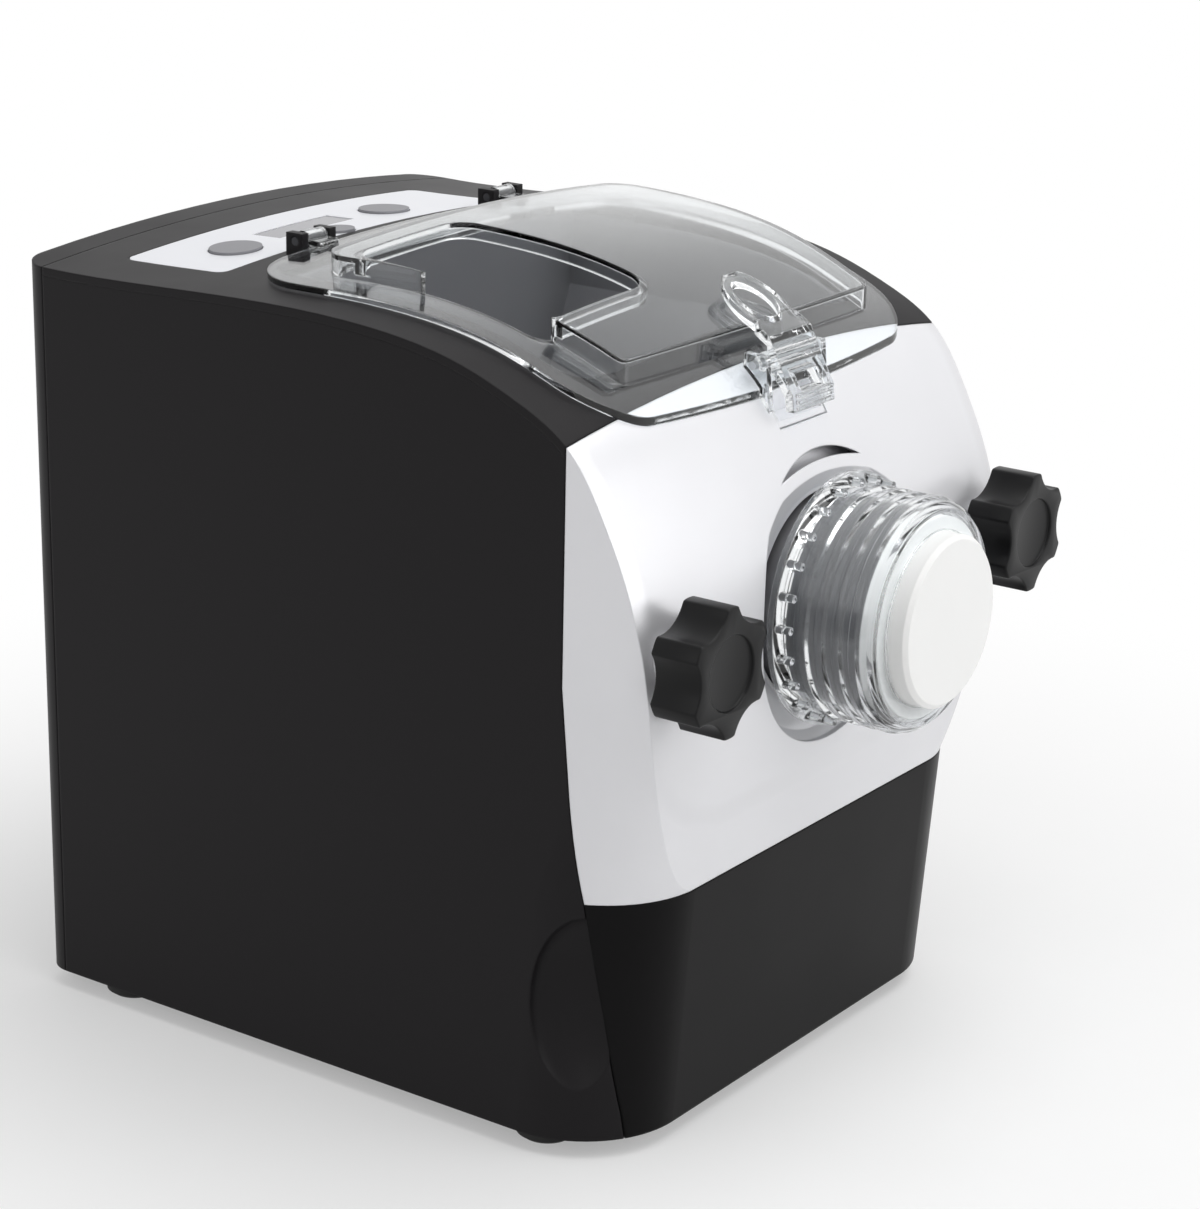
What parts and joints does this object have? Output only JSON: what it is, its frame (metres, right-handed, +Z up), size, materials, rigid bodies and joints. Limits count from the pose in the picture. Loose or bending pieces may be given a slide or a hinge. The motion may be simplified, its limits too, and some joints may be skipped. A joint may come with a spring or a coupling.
{
  "type": "electric pasta maker",
  "caption": "Countertop electric pasta maker with clear lid, threaded die nut, star knobs, control panel and storage drawer.",
  "frame": {"origin": "centre of the bounding box at its base, on the surface the feet stand on", "axes": "+Z up, -Y towards the extruding front, X across the width"},
  "size_m": [0.2408, 0.318, 0.2951],
  "materials": {
    "black_plastic": "satin",
    "silver_plastic": "satin metallic paint",
    "panel_plastic": "satin",
    "grey_rubber": "matt",
    "clear_plastic": "clear gloss",
    "white_plastic": "smooth",
    "rubber": "matt",
    "steel": "zinc plated",
    "brass": "turned",
    "gear_nylon": "moulded",
    "copper": "enamelled wire",
    "circuit_board": "solder mask",
    "display_glass": "tinted",
    "chamber_grey": "satin",
    "aluminium": "die cast"
  },
  "bodies": {
    "housing": {"base_plate": "black_plastic", "button_switches": "grey_rubber", "case_screws": "steel", "control_board": "circuit_board", "control_panel": "panel_plastic", "display_module": "display_glass", "display_window": "display_glass", "drawer_runners": "black_plastic", "extrusion_barrel": "black_plastic", "foot_front_left": "rubber", "foot_front_right": "rubber", "foot_rear_left": "rubber", "foot_rear_right": "rubber", "front_fascia": "silver_plastic", "front_frame": "aluminium", "front_studs": "steel", "gearbox_case": "black_plastic", "gearbox_cover": "black_plastic", "hinge_pins": "steel", "idler_pin": "steel", "latch_strike": "black_plastic", "lid_switch": "black_plastic", "mixing_chamber": "chamber_grey", "motor_bells": "aluminium", "motor_can": "steel", "motor_mount": "black_plastic", "motor_windings": "copper", "power_board": "circuit_board", "power_inlet": "black_plastic", "rear_cover": "black_plastic", "shaft_seal": "white_plastic", "side_panel_left": "black_plastic", "side_panel_right": "black_plastic", "top_deck": "black_plastic"},
    "lid": {"lid": "clear_plastic", "latch_pin": "steel"},
    "latch": {"latch_lever": "clear_plastic"},
    "drawer": {"drawer_front": "black_plastic", "drawer_tray": "black_plastic"},
    "washer_left": {"knob_washer_left": "steel"},
    "washer_right": {"knob_washer_right": "steel"},
    "knob_left": {"knob_left": "black_plastic", "knob_insert_left": "brass"},
    "knob_right": {"knob_right": "black_plastic", "knob_insert_right": "brass"},
    "disc": {"shaping_disc": "white_plastic"},
    "nut": {"die_nut": "clear_plastic"},
    "button_left": {"button_left": "grey_rubber"},
    "button_right": {"button_right": "grey_rubber"},
    "button_middle": {"button_middle": "grey_rubber"},
    "output": {"output_gear": "gear_nylon", "output_shaft": "steel", "drive_coupling": "steel", "extrusion_screw": "white_plastic", "mixing_paddle": "white_plastic"},
    "idler": {"idler_gear": "gear_nylon"},
    "motor": {"motor_pinion": "brass", "motor_shaft": "steel", "motor_rotor": "steel", "cooling_fan": "black_plastic"}
  },
  "joints": [
    {"name": "lid_hinge", "type": "hinge", "parent": "housing", "child": "lid", "pos_m": [0, 0.074, 0.2875], "axis": [-1, 0, 0], "range_deg": [0, 95]},
    {"name": "latch_pivot", "type": "hinge", "parent": "lid", "child": "latch", "pos_m": [0, -0.0895, 0.2605], "axis": [1, 0, 0], "range_deg": [0, 16]},
    {"name": "drawer_slide", "type": "slide", "parent": "housing", "child": "drawer", "axis": [0, -1, 0], "range_m": [0, 0.085]},
    {"name": "knob_left_travel", "type": "slide", "parent": "housing", "child": "washer_left", "axis": [0, -1, 0], "range_m": [0, 0.01251]},
    {"name": "knob_left_turn", "type": "hinge", "parent": "washer_left", "child": "knob_left", "pos_m": [-0.1, -0.128, 0.183], "axis": [0, -1, 0], "range_deg": [0, 3600]},
    {"name": "knob_right_travel", "type": "slide", "parent": "housing", "child": "washer_right", "axis": [0, -1, 0], "range_m": [0, 0.01251]},
    {"name": "knob_right_turn", "type": "hinge", "parent": "washer_right", "child": "knob_right", "pos_m": [0.1, -0.128, 0.183], "axis": [0, -1, 0], "range_deg": [0, 3600]},
    {"name": "disc_travel", "type": "slide", "parent": "housing", "child": "disc", "axis": [0, -1, 0], "range_m": [0, 0.01501]},
    {"name": "nut_turn", "type": "hinge", "parent": "disc", "child": "nut", "pos_m": [0, -0.13, 0.179], "axis": [0, -1, 0], "range_deg": [0, 900]},
    {"name": "output_spin", "type": "hinge", "parent": "housing", "child": "output", "pos_m": [0, 0, 0.179], "axis": [0, -1, 0], "continuous": true},
    {"name": "idler_spin", "type": "hinge", "parent": "housing", "child": "idler", "pos_m": [0, 0, 0.11775], "axis": [0, -1, 0], "continuous": true},
    {"name": "motor_spin", "type": "hinge", "parent": "housing", "child": "motor", "pos_m": [0, 0, 0.074], "axis": [0, -1, 0], "continuous": true},
    {"name": "button_left_press", "type": "slide", "parent": "housing", "child": "button_left", "axis": [0, 0, -1], "range_m": [0, 0.0009], "stiffness_N_per_m": 400},
    {"name": "button_right_press", "type": "slide", "parent": "housing", "child": "button_right", "axis": [0, 0, -1], "range_m": [0, 0.0009], "stiffness_N_per_m": 400},
    {"name": "button_middle_press", "type": "slide", "parent": "housing", "child": "button_middle", "axis": [0, 0, -1], "range_m": [0, 0.0009], "stiffness_N_per_m": 400}
  ],
  "couplings": [
    {"joint": "knob_left_travel", "follows": "knob_left_turn", "m_per_rad": 0.00019894},
    {"joint": "knob_right_travel", "follows": "knob_right_turn", "m_per_rad": 0.00019894},
    {"joint": "disc_travel", "follows": "nut_turn", "m_per_rad": 0.00095493},
    {"joint": "idler_spin", "follows": "output_spin", "ratio": -4},
    {"joint": "motor_spin", "follows": "output_spin", "ratio": 16}
  ]
}
